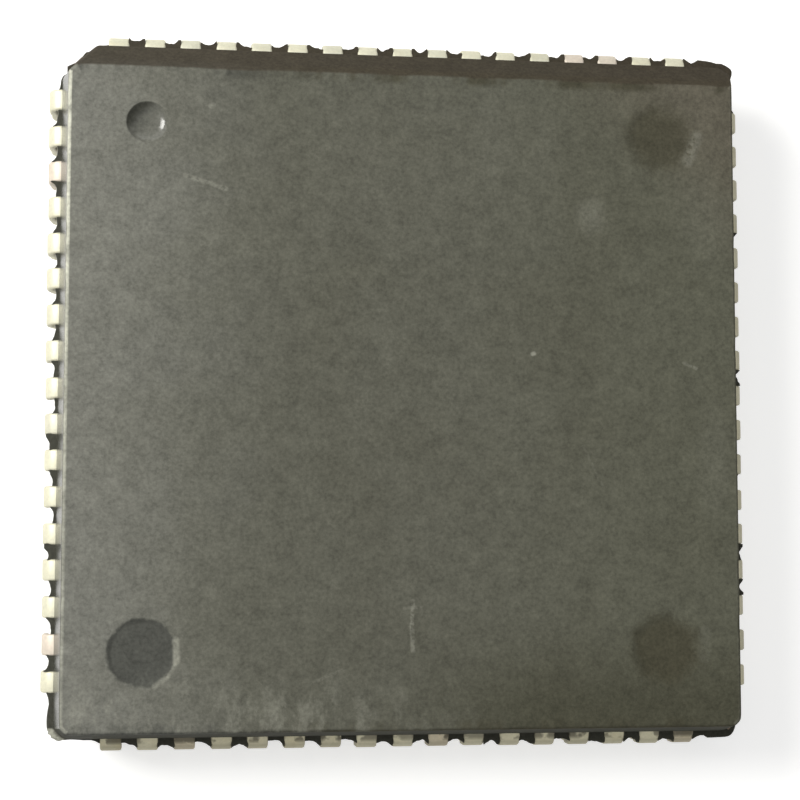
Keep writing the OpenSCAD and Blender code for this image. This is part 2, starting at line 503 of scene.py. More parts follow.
    def row(self) -> list[tuple[float, float, float]]:
        """Plans the points along a row of leads.

        Returns:
            For each point its plain place, share of the pocket's depth, and place in the pocket.
        """
        half, side, end = self.pocket_half, self.notch_side, self.notch_end
        squeeze = self.pocket_squeeze
        made: list[tuple[float, float, float]] = []
        for lead in range(self.leads):
            middle = (lead - (self.leads - 1) / 2) * self.pitch
            for k in range(side):
                made.append((middle - half + squeeze * k / side, k / side, middle - half))
            for k in range(end + 1):
                share = 2 * k / end - 1
                made.append((middle + (half - squeeze) * share, 1.0, middle + half * share))
            for k in range(1, side + 1):
                made.append((middle + half - squeeze * (1 - k / side), 1 - k / side, middle + half))
            if lead < self.leads - 1:
                gap = self.pitch - 2 * half
                for k in range(1, self.gap_steps):
                    place = middle + half + gap * k / self.gap_steps
                    made.append((place, 0.0, place))
        return made

    def stations(self, first: float, last: float) -> list[tuple[float, float, float | None]]:
        """Plans the points along one side from corner to corner.

        Args:
            first, last: where the side begins and ends.

        Returns:
            For each point its plain place, share of the pocket's depth, and place in the pocket.
        """
        row, steps = self.row(), self.end_steps
        begin, end = row[0][0], row[-1][0]
        before = [(first + (begin - first) * k / steps, 0.0, None) for k in range(steps)]
        beyond = [(end + (last - end) * k / steps, 0.0, None) for k in range(1, steps + 1)]
        return before + row + beyond

    def ease(self, points: list[Vector], soft: list[int]) -> None:
        """Rounds the corners of an outline and the ends of its sides.

        Args:
            points: the outline, changed in place.
            soft: indices of the points that may move.
        """
        for _ in range(self.easing_rounds):
            eased = {
                k: points[k] / 2 + (points[k - 1] + points[(k + 1) % len(points)]) / 4 for k in soft
            }
            for k, place in eased.items():
                points[k] = place

    def outline(self, level: Level) -> tuple[list[Vector], list[Spot]]:
        """Closed outline of the moulding at one cut, in turning order from the south-east.

        Args:
            level: the cut.

        Returns:
            The points, and the place of each in the outline.
        """
        points: list[Vector] = []
        spots: list[Spot] = []
        soft: list[int] = []
        for side in Side:
            out, beyond, behind = (
                self.wall(way, level.z) - level.inset for way in (side, side.after, side.before)
            )
            cut = ROOT2 * (self.corner(side, level.z) - level.inset)
            first = -min(ROOT2 * (self.corner(side.before, level.z) - level.inset) - out, behind)
            run = self.stations(first, min(cut - out, beyond))
            for k, (along, share, notch) in enumerate(run):
                spot = Spot(side, along)
                away = out + self.push(spot, level) - self.nick(side, along) * level.edge
                if level.pockets and notch is not None:
                    away, along = out + (self.pocket_end - out) * share, notch
                if not self.eased_points <= k < len(run) - self.eased_points:
                    soft.append(len(points))
                points.append(Vector(side.place(away, along)))
                spots.append(spot)
            turn = math.radians(side.value + 45)
            normal = Vector((math.cos(turn), math.sin(turn)))
            across = Vector((-math.sin(turn), math.cos(turn)))
            begin = points[-1]
            finish = Vector(side.after.place(beyond, -min(cut - beyond, out)))
            for k in range(1, self.corner_steps):
                place = begin.lerp(finish, k / self.corner_steps)
                spot = Spot(side, place.dot(across), True)
                soft.append(len(points))
                points.append(place + normal * self.push(spot, level))
                spots.append(spot)
        self.ease(points, soft)
        for k, spot in enumerate(spots):
            if spot.corner:
                away = Vector(spot.side.place(1.0, 1.0)).normalized()
                points[k] = points[k] + away * self.broken(spot, level)
        return points, spots

    def broken(self, spot: Spot, level: Level) -> float:
        """Rough part of the resin that is left at a corner.

        Args:
            spot: place in the corner.
            level: the cut that it lies in.

        Returns:
            Distance past the eased outline.
        """
        if spot.side is Side.WEST:
            return 0.13 * wave(spot.along * 9, level.z * 9, 6.6) if level.gate else 0.0
        if spot.side is Side.NORTH:
            return 0.2 * wave(spot.along * 4.5, 3.3, 8.2) * level.flash
        swell = max(0.0, 1.0 - (spot.along / 0.45) ** 2)
        return 0.1 * swell * level.flash if spot.side is Side.EAST else 0.0

    def nick(self, side: Side, along: float) -> float:
        """Depth of the small knocks in an edge.

        Args:
            side: the side.
            along: place along it.

        Returns:
            The depth, a little below 0 where the edge stands proud.
        """
        knock = max(0.0, wave(along * 0.9, side.value * 0.37, 4.4) - 0.28)
        fine = 0.02 if side is Side.SOUTH else 0.006
        return 0.09 * knock + fine * wave(along * 5.0, side.value, 9.1)

    def dusting(self, spot: Spot, level: Level) -> float:
        """Share of the dust film at one place, thinner in patches by the north and south edges.

        Args:
            spot: place in the outline.
            level: the cut that it lies in.

        Returns:
            A share of the full film.
        """
        even = level.film < 0.1 or level.inset > 0.2 or spot.side in (Side.EAST, Side.WEST)
        if spot.corner or even:
            return level.film
        broad = wave(spot.along * 0.8, spot.side.value, 2.6)
        fine = wave(spot.along * 3.3, 1.9, spot.side.value)
        return level.film * (1.0 - 0.8 * min(1.0, max(0.0, 0.3 + (1.5 * broad + 0.9 * fine))))

    def rub_and_highlight(self, spot: Spot) -> float:
        """How pale the top edge is at one place of the outline: partly rubbed, and along the west
        side a painted highlight.

        Args:
            spot: the place.

        Returns:
            A share of the full rub.
        """
        if spot.corner:
            return 0.28 if spot.side is Side.WEST else 0.1
        if spot.side is Side.WEST:
            fade = min(1.0, max(0.26, 0.72 - 0.045 * spot.along))
            swing = 0.25 + 0.03 * (spot.along + self.half)
            return max(0.0, fade * (0.9 + swing * wave(spot.along * 1.7, 0.3, 0.8)))
        base = {Side.NORTH: 0.0, Side.EAST: 0.04, Side.SOUTH: 0.0}[spot.side]
        return base * (1 + 0.9 * wave(spot.along * 1.3, spot.side.value, 6.2))

    def paleness(self, spot: Spot, level: Level) -> float:
        """How pale the resin is at one place: rubbed and with a painted highlight at edges, with a
        painted reflection over leads, raw at the gate.

        Args:
            spot: place in the outline.
            level: the cut that it lies in.

        Returns:
            A share of the palest rub.
        """
        if spot.corner and spot.side is Side.WEST and level.gate:
            return self.gate_paleness
        narrow = 1.0
        if spot.side is Side.WEST and not spot.corner:
            narrow += self.edge_narrowing * (spot.along + self.half)
        rub_and_highlight = self.rub_and_highlight(spot) if level.z > self.parting_high + 0.1 else self.lower_rub
        return max(level.edge ** narrow * rub_and_highlight, self.painted_lead_reflection(spot, level.z))

    def round_mark(self, draft: MeshDraft, mark: Mark, face: float, sink: float) -> list[int]:
        """Adds the rings of one round mark.

        Args:
            draft: mesh to add to.
            mark: the mark.
            face: height of the face that it is in.
            sink: direction into the body, -1 down from the top or 1 up from the underside.

        Returns:
            Indices of its outermost ring, which lies in the face.
        """
        r, d = mark.radius, mark.depth
        dusted = 1.0 if sink < 0 else self.foot_film_and_light
        if mark.kind is MarkKind.DIMPLE:
            steps = [(r + 0.1, 0.0, dusted), (r + 0.06, 0.0, dusted), (r + 0.02, 0.006, dusted)]
            steps += [
                (r * s, d * (1 - s ** 3.6), 0.05 if s > 0.5 else 0.4)
                for s in (0.98, 0.95, 0.9, 0.84, 0.77, 0.68, 0.56, 0.4, 0.2)
            ]
        else:
            outer, inner = (0.15, 0.3) if mark.softness > 0.2 else (0.05, 0.18)
            steps = [(r + outer + 0.09, 0.0, dusted), (r + outer + 0.05, 0.0, dusted)]
            for k in range(9):
                share = k / 8
                fall = share * share * (3 - 2 * share)
                steps.append((r + outer - (outer + inner) * share, d * fall, dusted))
            steps += [(r - inner - 0.05, d, dusted), (0.5 * r, d, dusted)]
        rings: list[list[int]] = []
        for radius, depth, held in steps:
            ring = []
            for j in range(self.mark_points):
                turn = 2 * math.pi * j / self.mark_points
                film = held
                # Inside the dimple the film is thin towards the upper left and full towards the lower
                # right: painted shade on the upper-left wall, painted light on the lower-right wall.
                if mark.kind is MarkKind.DIMPLE and radius < r:
                    away = 0.5 - 0.5 * math.cos(turn - math.radians(135))
                    film += (self.dimple_lit_side_film - held) * min(1.0, away * 1.5)
                ring.append(draft.point(
                    mark.x + radius * math.cos(turn), mark.y + radius * math.sin(turn),
                    face + sink * depth, film=film,
                ))
            rings.append(ring)
        for outer, inner in zip(rings, rings[1:]):
            draft.bridge(*((outer, inner) if sink < 0 else (inner, outer)))
        middle = draft.point(mark.x, mark.y, face + sink * d, film=steps[-1][2])
        for j in range(self.mark_points):
            n = (j + 1) % self.mark_points
            pair = (rings[-1][j], rings[-1][n]) if sink < 0 else (rings[-1][n], rings[-1][j])
            draft.face(*pair, middle)
        return rings[0]

    def cap(self, draft: MeshDraft, rim: list[int], marks: list[Mark], face: float, up: bool) -> None:
        """Fills a flat face of the moulding around its marks.

        Args:
            draft: mesh to add to.
            rim: outline of the face.
            marks: marks in the face.
            face: height of the face.
            up: whether it looks up.
        """
        loops = [rim] + [self.round_mark(draft, mark, face, -1.0 if up else 1.0) for mark in marks]
        flat: list[Vector] = []
        names: list[int] = []
        owner: list[int] = []
        edges: list[tuple[int, int]] = []
        for number, loop in enumerate(loops):
            start = len(flat)
            flat += [Vector(draft.points[k][:2]) for k in loop]
            names += loop
            owner += [number] * len(loop)
            edges += [(start + k, start + (k + 1) % len(loop)) for k in range(len(loop))]
        places, _, faces, origin, _, _ = delaunay_2d_cdt(flat, edges, [], 1, 1e-6)
        for corners in faces:
            known = [origin[k][0] for k in corners]
            if len({owner[k] for k in known}) == 1 and owner[known[0]] > 0:
                continue
            a, b, c = (places[k] for k in corners)
            turned = (b - a).cross(c - a) > 0
            chosen = [names[k] for k in known]
            draft.face(*(chosen if turned == up else reversed(chosen)))

    def build(self) -> bpy.types.Object:
        """Builds the moulding as one closed mesh.

        Returns:
            Its object, with the point values film and edge.
        """
        draft = MeshDraft("film", "edge")
        rings: list[list[int]] = []
        for level in self.levels():
            points, spots = self.outline(level)
            ring = []
            for place, spot in zip(points, spots):
                film, edge = self.dusting(spot, level), self.paleness(spot, level)
                ring.append(draft.point(place.x, place.y, level.z, film=film, edge=edge))
            rings.append(ring)
        for low, high in zip(rings, rings[1:]):
            draft.bridge(low, high)
        self.cap(draft, rings[-1], self.top_marks, self.top, True)
        self.cap(draft, rings[0], self.foot_marks, self.bottom, False)
        return draft.to_object("moulded_epoxy_body")

    def dress(
        self, piece: bpy.types.Object, dusty: bpy.types.Material, satin: bpy.types.Material
    ) -> None:
        """Gives the moulding its finishes and settles it in the frame.

        Args:
            piece: the moulding.
            dusty: finish of most of it.
            satin: finish of the underside and of the west wall, which have kept their shine.
        """
        for finish in (dusty, satin):
            piece.data.materials.append(finish)
        for polygon in piece.data.polygons:
            under = polygon.normal.z < -0.9 and polygon.center.z < (self.bottom + 0.1) * MM
            polygon.material_index = int(under or polygon.normal.x < -0.9)
        settle(piece, "molded_body")


@dataclass
class LeadRow:
    """One row of J-leads: flat fanned fingers, rounded shoulders, shanks and curled feet."""

    side: Side
    # Darkening of this row towards tarnish: painted shade on rows that face away from the lamp.
    dulled: float = 0.0
    count: int = 17
    pitch: float = 1.27
    tip_pitch: float = 0.4371
    thickness: float = 0.254
    width: float = 0.74
    foot_width: float = 0.46
    tip_width: float = 0.2
    coined: float = 0.08
    exit_height: float = 2.67
    finger_tip: float = 4.05
    finger_bend: float = 11.115
    bend_start: float = 12.131
    shoulder_radius: float = 0.19
    shank_drop: float = 0.9
    shank_taper: float = 0.3
    foot_radius: float = 0.89
    tip_rise: float = 0.15
    wander: float = 0.02
    shoulder_steps: int = 6
    foot_steps: int = 12
    seed: int = 5

    def path(self) -> list[tuple[float, float, float, float, float]]:
        """Plans the stations along a lead's middle.

        Returns:
            For each station its distance out, height, heading in degrees, half width and lean.
        """
        middle = self.exit_height + self.thickness / 2
        bend = self.shoulder_radius + self.thickness / 2
        drop = self.exit_height - self.shoulder_radius
        outside = self.bend_start + bend
        narrow = self.exit_height + self.thickness - self.shank_drop
        curl = self.foot_radius - self.thickness / 2
        centre = outside - curl
        wide, slim = self.width / 2, self.foot_width / 2
        stations = [
            (self.finger_tip, middle, 0.0, self.tip_width / 2, 1.0),
            (self.finger_bend, middle, 0.0, wide, 0.0),
            (self.finger_bend + 0.6, middle, 0.0, wide, 0.0),
        ]
        for k in range(self.shoulder_steps + 1):
            turn = 90.0 * k / self.shoulder_steps
            rad = math.radians(90 - turn)
            stations.append((
                self.bend_start + bend * math.cos(rad), drop + bend * math.sin(rad), -turn, wide, 0.0,
            ))
        stations += [
            (outside, narrow, -90.0, wide, 0.0),
            (outside, narrow - self.shank_taper, -90.0, slim, 0.0),
        ]
        for k in range(self.foot_steps + 1):
            turn = 180.0 * k / self.foot_steps
            rad = math.radians(-turn)
            stations.append((
                centre + curl * math.cos(rad), self.foot_radius + curl * math.sin(rad),
                -90.0 - turn, slim, 0.0,
            ))
        stations.append((centre - curl, self.foot_radius + self.tip_rise, -270.0, slim, 0.0))
        return stations

    def single(self) -> bpy.types.Object:
        """Builds the middle lead of a row that points along +X.

        Returns:
            Its object, with the point value lean for the fan of the fingers.
        """
        draft = MeshDraft("lean")
        rings: list[list[int]] = []
        thick, c = self.thickness / 2, self.coined
        for out, height, heading, half, lean in self.path():
            turn = math.radians(heading)
            up = Vector((-math.sin(turn), 0.0, math.cos(turn)))
            section = [
                (across * (half - c) + c * math.cos(bend), rise * (thick - c) + c * math.sin(bend))
                for start, across, rise in ((0, 1, 1), (90, -1, 1), (180, -1, -1), (270, 1, -1))
                for bend in (math.radians(start + part) for part in (0, 30, 60, 90))
            ]
            rings.append([
                draft.point(*(Vector((out, across, height)) + up * rise), lean=lean)
                for across, rise in section
            ])
        for low, high in zip(rings, rings[1:]):
            draft.bridge(low, high)
        draft.face(*reversed(rings[0]))
        draft.face(*rings[-1])
        return draft.to_object(f"single_{self.side.node}", 40.0)

    def tree(self) -> bpy.types.NodeTree:
        """Builds the node tree that lays out a row from one lead.

        Returns:
            The tree, with named inputs for the row's sizes.
        """
        tree = bpy.data.node_groups.new(f"row_of_{self.side.node}", "GeometryNodeTree")
        for name, kind in (
            ("Lead", "Geometry"), ("Count", "Int"), ("Pitch", "Float"), ("Tip Pitch", "Float"),
            ("Turn", "Float"), ("Wander", "Float"), ("Dulled", "Float"), ("Seed", "Int"),
            ("Finish", "Material"),
        ):
            tree.interface.new_socket(name=name, in_out="INPUT", socket_type=f"NodeSocket{kind}")
        tree.interface.new_socket(name="Row", in_out="OUTPUT", socket_type="NodeSocketGeometry")
        g = Graph(tree)
        sizes = g.add("NodeGroupInput").outputs
        index = g.add("GeometryNodeInputIndex").outputs[0]
        pitch, wander = sizes["Pitch"], sizes["Wander"]
        middle = g.math("DIVIDE", g.minus(sizes["Count"], 1), 2)
        step = g.minus(index, middle)
        start = g.add("ShaderNodeCombineXYZ", Y=g.times(g.times(middle, -1), pitch)).outputs[0]
        offset = g.add("ShaderNodeCombineXYZ", Y=pitch).outputs[0]
        line = g.add(
            "GeometryNodeMeshLine", {"Start Location": start, "Offset": offset}, Count=sizes["Count"]
        )
        inward = g.times(wander, -1)
        drift = g.add(
            "FunctionNodeRandomValue", settings={"data_type": "FLOAT_VECTOR"},
            ID=index, Seed=sizes["Seed"],
        )
        g.plug(drift.inputs[0], g.add("ShaderNodeCombineXYZ", X=inward, Y=inward).outputs[0])
        g.plug(drift.inputs[1], g.add("ShaderNodeCombineXYZ", Y=wander).outputs[0])
        tone = g.add(
            "FunctionNodeRandomValue", settings={"data_type": "FLOAT"},
            ID=index, Seed=g.plus(sizes["Seed"], 17),
        ).outputs[1]
        # Each lead's darkening, the point value dull: the row's painted shade, varied a little from
        # lead to lead.
        dull = g.times(sizes["Dulled"], g.plus(0.8, g.times(tone, 0.4)))
        shown = line.outputs[0]
        for name, value in (("step", step), ("tone", tone), ("dull", dull)):
            shown = g.after(shown, "GeometryNodeStoreNamedAttribute", Name=name, Value=value)
        shown = g.after(shown, "GeometryNodeSetPosition", Offset=drift.outputs[0])
        shown = g.after(shown, "GeometryNodeInstanceOnPoints", Instance=sizes["Lead"])
        shown = g.after(shown, "GeometryNodeRealizeInstances")
        steps, lean = (
            g.add("GeometryNodeInputNamedAttribute", Name=name).outputs[0]
            for name in ("step", "lean")
        )
        closer = g.times(g.times(steps, lean), g.minus(sizes["Tip Pitch"], pitch))
        fan = g.add("ShaderNodeCombineXYZ", Y=closer).outputs[0]
        shown = g.after(shown, "GeometryNodeSetPosition", Offset=fan)
        turn = g.add("ShaderNodeCombineXYZ", Z=sizes["Turn"]).outputs[0]
        shown = g.after(shown, "GeometryNodeTransform", Rotation=turn)
        shown = g.after(shown, "GeometryNodeSetMaterial", Material=sizes["Finish"])
        g.plug(g.add("NodeGroupOutput").inputs[0], shown)
        return tree

    def build(self, finish: bpy.types.Material) -> bpy.types.Object:
        """Lays out the row and turns it into a plain mesh.

        Args:
            finish: the leads' material.

        Returns:
            The row's object.
        """
        seed_lead = self.single()
        rows = seed_lead.modifiers.new("row", "NODES")
        rows.node_group = self.tree()
        values = {
            "Count": self.count, "Pitch": self.pitch * MM, "Tip Pitch": self.tip_pitch * MM,
            "Turn": math.radians(self.side.value), "Wander": self.wander * MM,
            "Dulled": self.dulled, "Seed": self.seed + self.side.value, "Finish": finish,
        }
        for item in rows.node_group.interface.items_tree:
            if item.in_out == "INPUT" and item.name in values:
                rows[item.identifier] = values[item.name]
        shown = bpy.context.evaluated_depsgraph_get()
        mesh = bpy.data.meshes.new_from_object(
            seed_lead.evaluated_get(shown), preserve_all_data_layers=True, depsgraph=shown
        )
        seed_lead.modifiers.remove(rows)
        bpy.data.objects.remove(seed_lead)
        for name in ("step", "lean"):
            mesh.attributes.remove(mesh.attributes[name])
        name = f"j_leads_{self.side.name.lower()}"
        mesh.name = name
        row = bpy.data.objects.new(name, mesh)
        bpy.context.scene.collection.objects.link(row)
        return row

    def dress(self, piece: bpy.types.Object) -> None:
        """Settles the row in the frame."""
        settle(piece, self.side.node)


class Graph:
    """Short hand for building one node tree."""

    def __init__(self, tree: bpy.types.NodeTree) -> None:
        """Takes the tree that nodes are added to."""
        self.tree = tree

    def plug(self, socket: Socket, value: object) -> None:
        """Links a value's socket to an input, or sets the input to a plain value.

        Args:
            socket: the input.
            value: a socket that gives the value, or the value itself.
        """
        if isinstance(value, bpy.types.NodeSocket):
            self.tree.links.new(value, socket)
        else:
            socket.default_value = value

    def add(
        self, kind: str, inputs: dict[str, object] | None = None,
        settings: dict[str, object] | None = None, **more: object,
    ) -> bpy.types.Node:
        """Adds a node.

        Args:
            kind: the node's type name.
            inputs: values or sockets by input name.
            settings: the node's own properties.
            more: further inputs whose names are plain words.

        Returns:
            The node.
        """
        node = self.tree.nodes.new(kind)
        for name, value in (settings or {}).items():
            setattr(node, name, value)
        for name, value in {**(inputs or {}), **more}.items():
            self.plug(node.inputs[name], value)
        return node

    def math(self, operation: str, *values: object, clamp: bool = False) -> Socket:
        """Adds a Math node.

        Args:
            operation: its operation.
            values: its inputs in order.
            clamp: whether the result is kept between 0 and 1.

        Returns:
            Its output.
        """
        node = self.add("ShaderNodeMath", settings={"operation": operation, "use_clamp": clamp})
        for socket, value in zip(node.inputs, values):
            self.plug(socket, value)
        return node.outputs[0]

    def times(self, first: object, second: object, clamp: bool = False) -> Socket:
        """Multiplies two values."""
        return self.math("MULTIPLY", first, second, clamp=clamp)

    def plus(self, first: object, second: object, clamp: bool = False) -> Socket:
        """Adds two values."""
        return self.math("ADD", first, second, clamp=clamp)

    def minus(self, first: object, second: object) -> Socket:
        """Takes the second value from the first."""
        return self.math("SUBTRACT", first, second)

    def most(self, first: object, second: object) -> Socket:
        """Picks the larger of two values."""
        return self.math("MAXIMUM", first, second)

    def vector(self, operation: str, *values: object) -> bpy.types.Node:
        """Adds a Vector Math node.

        Args:
            operation: its operation.
            values: its inputs in order.

        Returns:
            The node, because some operations put out a value and some a vector.
        """
        node = self.add("ShaderNodeVectorMath", settings={"operation": operation})
        for socket, value in zip(node.inputs, values):
            self.plug(socket, value)
        return node

    def scaled(self, vector: object, scale: object) -> Socket:
        """Multiplies a vector or a colour by one value.

        Args:
            vector: the vector or colour.
            scale: the value.

        Returns:
            The scaled vector or colour.
        """
        node = self.vector("SCALE", vector)
        self.plug(node.inputs["Scale"], scale)
        return node.outputs[0]

    def after(self, geometry: Socket, kind: str, **inputs: object) -> Socket:
        """Adds a node to the end of a chain of geometry.

        Args:
            geometry: what the chain gives so far.
            kind: the node's type name.
            inputs: its further inputs.

        Returns:
            What the chain gives now.
        """
        node = self.add(kind, inputs)
        self.plug(node.inputs[0], geometry)
        return node.outputs[0]

    def blend(self, share: object, under: object, over: object) -> Socket:
        """Mixes two colours.

        Args:
            share: how much of the second shows.
            under: the first colour.
            over: the second colour.

        Returns:
            The mixed colour.
        """
        node = self.add("ShaderNodeMix", settings={"data_type": "RGBA"})
        for place, value in ((0, share), (6, under), (7, over)):
            if isinstance(value, tuple):
                value = (*value, 1.0)
            self.plug(node.inputs[place], value)
        return node.outputs[2]

    def span(
        self, value: object, low: object, high: object, start: float = 0.0, end: float = 1.0
    ) -> Socket:
        """Maps a value smoothly from one range to another and holds it there.

        Args:
            value: the value.
            low, high: range that it comes from.
            start, end: range that it goes to.

        Returns:
            The mapped value.
        """
        node = self.add("ShaderNodeMapRange", settings={"interpolation_type": "SMOOTHSTEP"})
        for place, given in enumerate((value, low, high, start, end)):
            self.plug(node.inputs[place], given)
        return node.outputs[0]

    def noise(self, point: object, scale: object, detail: float = 2.0, rough: float = 0.5) -> Socket:
        """Adds a noise texture and returns its value."""
        inputs = {"Vector": point, "Scale": scale, "Detail": detail, "Roughness": rough}
        return self.add("ShaderNodeTexNoise", inputs).outputs[0]

    def axes(self, point: object) -> tuple[Socket, Socket, Socket]:
        """Splits a point into its x, y and z."""
        return tuple(self.add("ShaderNodeSeparateXYZ", Vector=point).outputs[:3])

    def stretched(self, point: object, scale: object) -> Socket:
        """Multiplies a point by a scale for each axis."""
        return self.vector("MULTIPLY", point, scale).outputs[0]


class Effects:
    """Surface effects that the finishes share, each a node group built once."""

    def __init__(self) -> None:
        """Builds the groups."""
        self.grain = self.build_grain()
        self.scuff = self.build_scuff()
        self.spot = self.build_spot()
        self.blotch = self.build_blotch()

    @staticmethod
    def start(
        name: str, gives: list[str], **takes: object
    ) -> tuple[Graph, dict[str, Socket], bpy.types.Node]:
        """Starts a group that takes a point.

        Args:
            name: its name.
            gives: names of its values.
            takes: its further inputs and their values to begin with; a tuple makes a vector.

        Returns:
            Its graph, its inputs by name and its output node.
        """
        tree = bpy.data.node_groups.new(name, "ShaderNodeTree")
        for key, value in {"Point": ORIGIN, **takes}.items():
            kind = "NodeSocketVector" if isinstance(value, tuple) else "NodeSocketFloat"
            socket = tree.interface.new_socket(name=key, in_out="INPUT", socket_type=kind)
            socket.default_value = value
        for key in gives:
            tree.interface.new_socket(name=key, in_out="OUTPUT", socket_type="NodeSocketFloat")
        graph = Graph(tree)
        return graph, graph.add("NodeGroupInput").outputs, graph.add("NodeGroupOutput")

    def build_grain(self) -> bpy.types.NodeTree:
        """Builds the fine speckle of a filled or plated surface.

        Returns:
            The group, which gives a tone around 1 and a height.
        """
        g, takes, out = self.start("surface_grain", ["Tone", "Height"], Scale=8.0, Contrast=0.2)
        fine = g.noise(takes["Point"], takes["Scale"], 3.0, 0.65)
        coarse = g.noise(takes["Point"], g.times(takes["Scale"], 0.23))
        height = g.plus(g.times(fine, 0.7), g.times(coarse, 0.3))
        swing = g.times(g.minus(height, 0.5), takes["Contrast"])
        g.plug(out.inputs["Tone"], g.plus(swing, 1.0))
        g.plug(out.inputs["Height"], height)
        return g.tree

    def build_scuff(self) -> bpy.types.NodeTree:
        """Builds a ragged straight scuff between two points.

        Returns:
            The group, which gives the scuff's mask.
        """
        g, takes, out = self.start(
            "scuff_line", ["Mask"], Start=ORIGIN, End=(1.0, 0.0, 0.0), Width=0.05, Ragged=0.5
        )
        rough = g.noise(takes["Point"], 6.0, 3.0)
        way = g.vector("SUBTRACT", takes["End"], takes["Start"]).outputs[0]
        reach = g.vector("SUBTRACT", takes["Point"], takes["Start"]).outputs[0]
        along = g.math(
            "DIVIDE", g.vector("DOT_PRODUCT", reach, way).outputs["Value"],
            g.vector("DOT_PRODUCT", way, way).outputs["Value"], clamp=True,
        )
        off = g.vector("SUBTRACT", reach, g.scaled(way, along)).outputs[0]
        away = g.vector("LENGTH", off).outputs["Value"]
        thin = g.times(takes["Width"], g.minus(1.25, g.times(takes["Ragged"], rough)))
        line = g.span(away, g.times(thin, 0.25), thin, 1.0, 0.0)
        gap = g.times(takes["Ragged"], 0.62)
        g.plug(out.inputs["Mask"], g.times(line, g.span(rough, gap, g.plus(gap, 0.2))))
        return g.tree

    def build_spot(self) -> bpy.types.NodeTree:
        """Builds a round or oval spot with a ragged rim.

        Returns:
            The group, which gives the spot's mask.
        """
        g, takes, out = self.start(
            "ragged_spot", ["Mask"], Centre=ORIGIN, Shape=(1.0, 1.0, 1.0),
            Radius=1.0, Softness=0.1, Ragged=0.1,
        )
        off = g.vector("SUBTRACT", takes["Point"], takes["Centre"]).outputs[0]
        away = g.vector("LENGTH", g.stretched(off, takes["Shape"])).outputs["Value"]
        rough = g.noise(takes["Point"], 2.4, 4.0, 0.6)
        away = g.plus(away, g.times(g.minus(rough, 0.5), takes["Ragged"]))
        half = g.times(takes["Softness"], 0.5)
        rim = g.minus(takes["Radius"], half), g.plus(takes["Radius"], half)
        g.plug(out.inputs["Mask"], g.span(away, *rim, 1.0, 0.0))
        return g.tree

    def build_blotch(self) -> bpy.types.NodeTree:
        """Builds soft cloudy patches.

        Returns:
            The group, which gives the patches' mask.
        """
        g, takes, out = self.start("cloudy_patches", ["Mask"], Scale=0.3, From=0.45, To=0.65)
        cloud = g.noise(takes["Point"], takes["Scale"], 4.0, 0.55)
        g.plug(out.inputs["Mask"], g.span(cloud, takes["From"], takes["To"]))
        return g.tree


class Surface:
    """One material under construction, with its graph and its point in millimetres."""

    def __init__(self, name: str, effects: Effects) -> None:
        """Starts a material.

        Args:
            name: its name.
            effects: the shared effects.
        """
        self.material = bpy.data.materials.new(name)
        self.material.use_nodes = True
        self.graph = Graph(self.material.node_tree)
        self.shader = self.material.node_tree.nodes["Principled BSDF"]
        self.effects = effects
        place = self.graph.add("ShaderNodeTexCoord").outputs["Object"]
        self.point = self.graph.stretched(place, (1 / MM, 1 / MM, 1 / MM))

    def use(self, group: bpy.types.NodeTree, **inputs: object) -> bpy.types.bpy_prop_collection:
        """Places a shared effect.

        Args:
            group: the effect.
            inputs: its inputs; the point in millimetres is one unless another is given.

        Returns:
            Its outputs.
        """
        node = self.graph.add("ShaderNodeGroup", settings={"node_tree": group})
        for name, value in {"Point": self.point, **inputs}.items():
            self.graph.plug(node.inputs[name], value)
        return node.outputs

    def patches(self, scale: float, low: float, high: float) -> Socket:
        """Places soft cloudy patches that show between two levels, and returns their mask."""
        return self.use(self.effects.blotch, Scale=scale, From=low, To=high)["Mask"]

    def value(self, name: str) -> Socket:
        """Reads a point value of the mesh."""
        return self.graph.add("ShaderNodeAttribute", settings={"attribute_name": name}).outputs["Fac"]

    def set(self, **inputs: object) -> None:
        """Sets or links inputs of the shader, with _ for the spaces in their names."""
        for name, value in inputs.items():
            self.graph.plug(self.shader.inputs[name.replace("_", " ")], value)

    def bump(self, height: Socket, depth: float, strength: float) -> None:
        """Roughens the surface.

        Args:
            height: height pattern from 0 to 1.
            depth: real depth of the pattern in millimetres.
            strength: share of the full effect.
        """
        node = self.graph.add("ShaderNodeBump", Height=height, Distance=depth * MM, Strength=strength)
        self.set(Normal=node.outputs[0])


@dataclass(frozen=True)
class Scuff:
    """One pale scuff on the top face."""

    start: tuple[float, float]
    end: tuple[float, float]
    width: float
    strength: float
    ragged: float = 0.6


@dataclass(frozen=True)
class Smudge:
    """One soft pale or dark smudge on the top face."""

    centre: tuple[float, float]
    radius: float
    shape: tuple[float, float]
    strength: float


